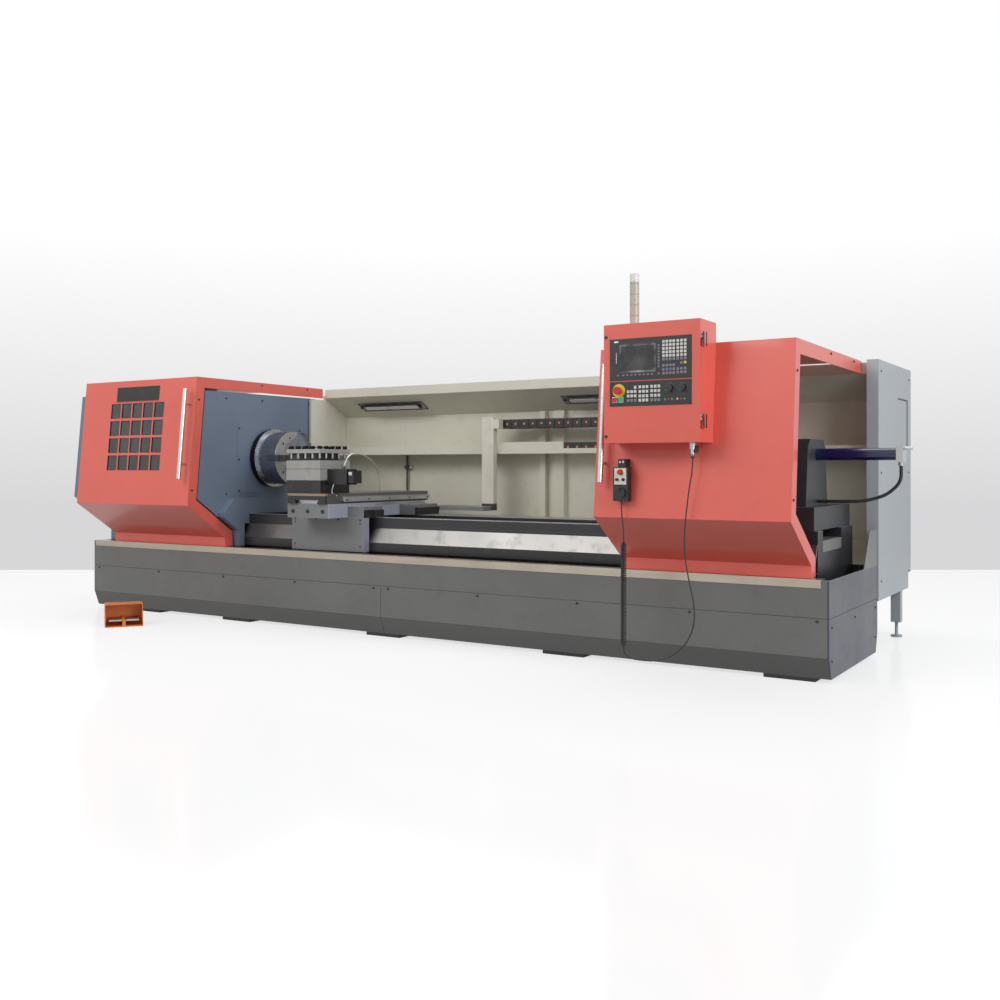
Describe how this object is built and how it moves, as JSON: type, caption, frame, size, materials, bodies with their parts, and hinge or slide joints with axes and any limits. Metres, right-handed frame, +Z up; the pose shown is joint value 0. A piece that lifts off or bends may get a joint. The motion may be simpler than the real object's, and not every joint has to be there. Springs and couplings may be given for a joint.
{
  "type": "cnc turning lathe",
  "caption": "Long flat-bed turning lathe with sliding front doors, chuck, four-way turret on a cross slide, tailstock, control box, hand pendant, electric cabinet and foot switch.",
  "frame": {"origin": "centre of the base's plan on the floor", "axes": "+X along the spindle axis from headstock to tailstock, -Y towards the operator, +Z up"},
  "size_m": [6, 2.6449, 2.105],
  "materials": {
    "base_grey": "satin",
    "black_rubber": "matte",
    "black_screw": "satin",
    "stainless": "satin",
    "bed_iron": "satin",
    "bearing_steel": "polished",
    "cover_grey": "satin",
    "motor_black": "satin",
    "belt_rubber": "matte",
    "guard_cream": "satin",
    "chain_black": "matte",
    "lamp_body": "satin",
    "cabinet_grey": "satin",
    "switch_orange": "gloss",
    "pedal_grey": "satin",
    "machined_steel": "machined",
    "jaw_steel": "machined",
    "door_red": "satin",
    "dark_pane": "gloss",
    "tower_white": "satin",
    "black_plastic": "satin",
    "cord_black": "matte",
    "stop_red": "gloss",
    "start_green": "gloss",
    "casting_grey": "satin",
    "turret_steel": "machined",
    "hose_braid": "braided",
    "tailstock_grey": "satin",
    "cylinder_blue": "gloss"
  },
  "bodies": {
    "machine": {"plinth": "base_grey", "levelling_pads": "black_rubber", "panel_screws": "black_screw", "chip_tray": "base_grey", "door_rail": "stainless", "bed_casting": "bed_iron", "way_cover": "stainless", "headstock_casting": "bed_iron", "spindle_bearings": "bearing_steel", "headstock_cover": "cover_grey", "main_motor": "motor_black", "drive_belt": "belt_rubber", "rear_guard": "guard_cream", "chain_lower_run": "chain_black", "work_lamps": "lamp_body", "electric_cabinet": "cabinet_grey", "foot_switch_guard": "switch_orange"},
    "spindle": {"spindle_shaft": "machined_steel", "chuck_body": "machined_steel"},
    "motor_pulley": {"motor_pulley": "machined_steel"},
    "jaw_1": {"jaw_1": "jaw_steel"},
    "jaw_2": {"jaw_2": "jaw_steel"},
    "jaw_3": {"jaw_3": "jaw_steel"},
    "left_door": {"left_door": "door_red", "left_window": "dark_pane", "left_handle": "stainless"},
    "right_door": {"right_door": "door_red", "right_handle": "stainless", "control_box": "door_red", "signal_tower": "tower_white", "pendant_body": "black_plastic", "pendant_lead": "cord_black", "pendant_coil": "cord_black", "pendant_cord": "cord_black"},
    "box_lid": {"box_lid": "door_red", "operator_panel": "black_plastic"},
    "stop_knob": {"stop_knob": "stop_red"},
    "feed_dial": {"feed_dial": "black_plastic"},
    "speed_dial": {"speed_dial": "black_plastic"},
    "red_button": {"red_button": "stop_red"},
    "green_button": {"green_button": "start_green"},
    "pendant_wheel": {"pendant_wheel": "black_plastic"},
    "pendant_stop": {"pendant_stop": "stop_red"},
    "carriage": {"saddle": "casting_grey", "apron": "casting_grey", "chain_upper_run": "chain_black"},
    "chain_bend": {"chain_bend": "chain_black"},
    "cross_slide": {"cross_slide": "casting_grey", "turret_base": "turret_steel", "turret_motor": "motor_black", "coolant_hose": "hose_braid"},
    "turret": {"turret_head": "turret_steel", "tool_bolts": "black_screw"},
    "tailstock": {"tailstock_body": "tailstock_grey", "quill_cylinder": "cylinder_blue", "hydraulic_hose": "cord_black"},
    "quill": {"quill": "machined_steel"},
    "live_centre": {"live_centre": "machined_steel"},
    "left_pedal": {"left_pedal": "pedal_grey"},
    "right_pedal": {"right_pedal": "pedal_grey"}
  },
  "joints": [
    {"name": "spindle_spin", "type": "hinge", "parent": "machine", "child": "spindle", "pos_m": [-1.45, -0.02, 1.162], "axis": [1, 0, 0], "continuous": true},
    {"name": "motor_spin", "type": "hinge", "parent": "machine", "child": "motor_pulley", "pos_m": [-2.675, -0.02, 0.735], "axis": [1, 0, 0], "continuous": true},
    {"name": "jaw_1_slide", "type": "slide", "parent": "spindle", "child": "jaw_1", "axis": [0, -1, 0], "range_m": [-0.008, 0.02]},
    {"name": "jaw_2_slide", "type": "slide", "parent": "spindle", "child": "jaw_2", "axis": [0, 0.5, -0.866], "range_m": [-0.008, 0.02]},
    {"name": "jaw_3_slide", "type": "slide", "parent": "spindle", "child": "jaw_3", "axis": [0, 0.5, 0.866], "range_m": [-0.008, 0.02]},
    {"name": "left_door_slide", "type": "slide", "parent": "machine", "child": "left_door", "axis": [1, 0, 0], "range_m": [0, 1.45]},
    {"name": "right_door_slide", "type": "slide", "parent": "machine", "child": "right_door", "axis": [1, 0, 0], "range_m": [-1.6, 0]},
    {"name": "box_lid_hinge", "type": "hinge", "parent": "right_door", "child": "box_lid", "pos_m": [2.348, -0.941, 1.52], "axis": [0, 0, 1], "range_deg": [0, 100]},
    {"name": "stop_press", "type": "slide", "parent": "box_lid", "child": "stop_knob", "axis": [0, 1, 0], "range_m": [0, 0.004], "stiffness_N_per_m": 1500},
    {"name": "feed_dial_turn", "type": "hinge", "parent": "box_lid", "child": "feed_dial", "pos_m": [2.182, -0.97, 1.488], "axis": [0, -1, 0], "range_deg": [-135, 135]},
    {"name": "speed_dial_turn", "type": "hinge", "parent": "box_lid", "child": "speed_dial", "pos_m": [2.251, -0.97, 1.488], "axis": [0, -1, 0], "range_deg": [-135, 135]},
    {"name": "red_press", "type": "slide", "parent": "box_lid", "child": "red_button", "axis": [0, 1, 0], "range_m": [0, 0.004], "stiffness_N_per_m": 600},
    {"name": "green_press", "type": "slide", "parent": "box_lid", "child": "green_button", "axis": [0, 1, 0], "range_m": [0, 0.004], "stiffness_N_per_m": 600},
    {"name": "pendant_wheel_turn", "type": "hinge", "parent": "right_door", "child": "pendant_wheel", "pos_m": [1.866, -0.875, 0.958], "axis": [0, -1, 0], "continuous": true},
    {"name": "pendant_stop_press", "type": "slide", "parent": "right_door", "child": "pendant_stop", "axis": [0, 1, 0], "range_m": [0, 0.004], "stiffness_N_per_m": 600},
    {"name": "carriage_slide", "type": "slide", "parent": "machine", "child": "carriage", "axis": [1, 0, 0], "range_m": [-0.28, 2], "deforming": ["chain_upper_run", "chain_lower_run"]},
    {"name": "chain_roll", "type": "slide", "parent": "machine", "child": "chain_bend", "axis": [1, 0, 0], "range_m": [-0.16, 1.02]},
    {"name": "cross_slide_travel", "type": "slide", "parent": "carriage", "child": "cross_slide", "axis": [0, 1, 0], "range_m": [-0.05, 0.25]},
    {"name": "turret_index", "type": "hinge", "parent": "cross_slide", "child": "turret", "pos_m": [-0.6, -0.442, 1.14], "axis": [0, 0, 1], "continuous": true},
    {"name": "tailstock_slide", "type": "slide", "parent": "machine", "child": "tailstock", "axis": [1, 0, 0], "range_m": [-2.1, 0]},
    {"name": "quill_slide", "type": "slide", "parent": "tailstock", "child": "quill", "axis": [-1, 0, 0], "range_m": [0, 0.15]},
    {"name": "centre_spin", "type": "hinge", "parent": "quill", "child": "live_centre", "pos_m": [2.02, -0.02, 1.162], "axis": [1, 0, 0], "continuous": true},
    {"name": "left_pedal_press", "type": "hinge", "parent": "machine", "child": "left_pedal", "pos_m": [-1.88773, -1.01301, 0.042], "axis": [0.5878, 0.809, 0], "range_deg": [0, 12], "stiffness_Nm_per_rad": 4, "springref_deg": -17.19},
    {"name": "right_pedal_press", "type": "hinge", "parent": "machine", "child": "right_pedal", "pos_m": [-1.88773, -1.01301, 0.042], "axis": [0.5878, 0.809, 0], "range_deg": [0, 12], "stiffness_Nm_per_rad": 4, "springref_deg": -17.19}
  ],
  "couplings": [
    {"joint": "motor_spin", "follows": "spindle_spin", "ratio": 2},
    {"joint": "jaw_2_slide", "follows": "jaw_1_slide", "ratio": 1},
    {"joint": "jaw_3_slide", "follows": "jaw_1_slide", "ratio": 1},
    {"joint": "chain_roll", "follows": "carriage_slide", "ratio": 0.5}
  ]
}
